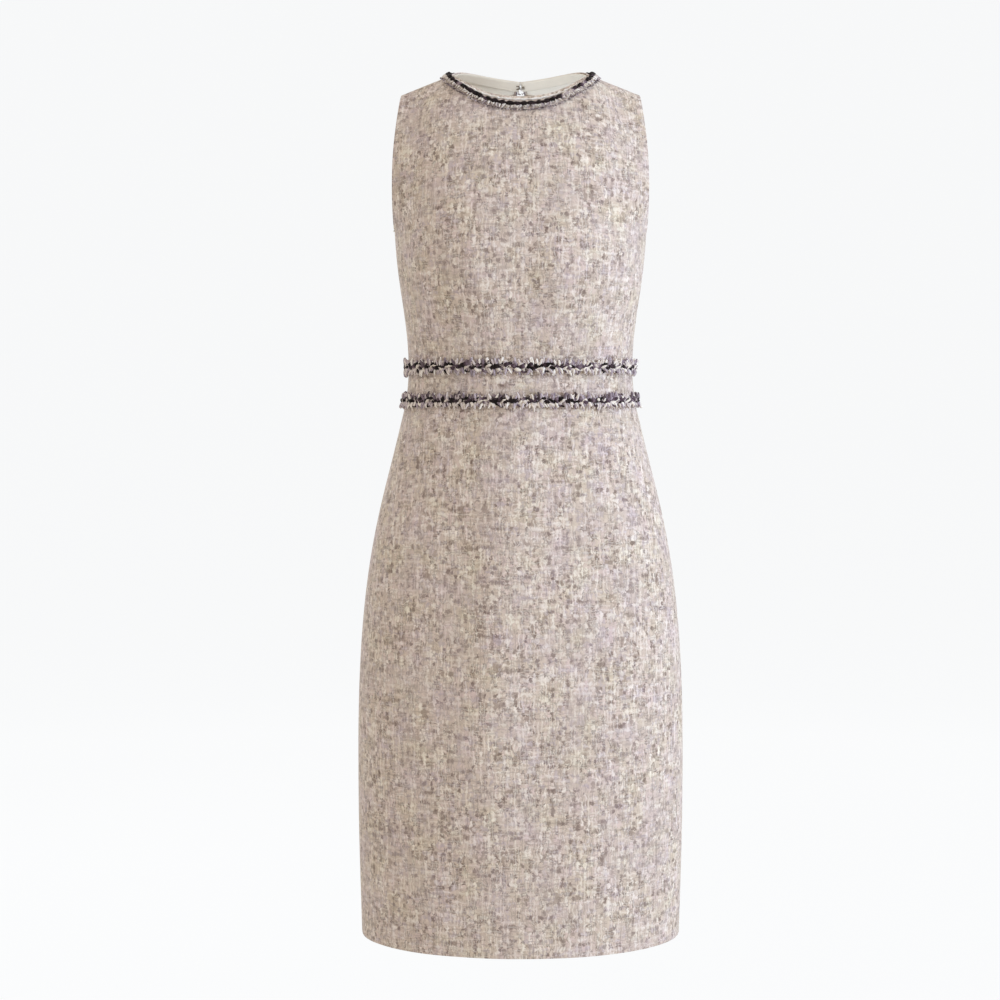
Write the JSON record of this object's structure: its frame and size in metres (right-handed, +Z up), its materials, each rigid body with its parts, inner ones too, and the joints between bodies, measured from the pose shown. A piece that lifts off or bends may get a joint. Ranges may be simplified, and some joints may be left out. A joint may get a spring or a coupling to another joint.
{
  "type": "sheath dress",
  "caption": "Sleeveless knee-length tweed sheath dress, filled out as if worn, with a fringed round neck, two fringed braids round the waist and a centre back zip.",
  "frame": {"origin": "midway between the inner ends of the two shoulder seams, where the wearer's shoulders carry it", "axes": "+Z up along the body, front towards -Y, +X towards the wearer's left"},
  "size_m": [0.3576, 0.2393, 0.9496],
  "materials": {
    "tweed": "matte boucle tweed",
    "facing": "matte plain weave",
    "dark_cord": "matte yarn",
    "pale_fringe": "matte loose yarn",
    "zip_tape": "matte woven tape",
    "zip_metal": "satin enamel",
    "dark_metal": "satin"
  },
  "bodies": {
    "dress": {"bodice_front": "tweed", "bodice_back_left": "tweed", "bodice_back_right": "tweed", "waistband_front": "tweed", "waistband_back_left": "tweed", "waistband_back_right": "tweed", "skirt_front": "tweed", "skirt_back_left": "tweed", "skirt_back_right": "tweed", "facing_front": "facing", "facing_back_left": "facing", "facing_back_right": "facing", "neck_cord": "dark_cord", "neck_fringe": "pale_fringe", "waist_fringe_upper": "pale_fringe", "waist_fringe_lower": "pale_fringe", "waist_braid_upper": "dark_cord", "waist_braid_lower": "dark_cord", "zip_tape_left": "zip_tape", "zip_tape_right": "zip_tape", "zip_slider": "zip_metal", "hook": "dark_metal", "eye": "dark_metal"},
    "pull": {"zip_pull": "zip_metal"}
  },
  "joints": [
    {"name": "pull_swing", "type": "hinge", "parent": "dress", "child": "pull", "pos_m": [0, 0.07162, -0.03233], "axis": [1, 0, 0], "range_deg": [0, 160]}
  ]
}
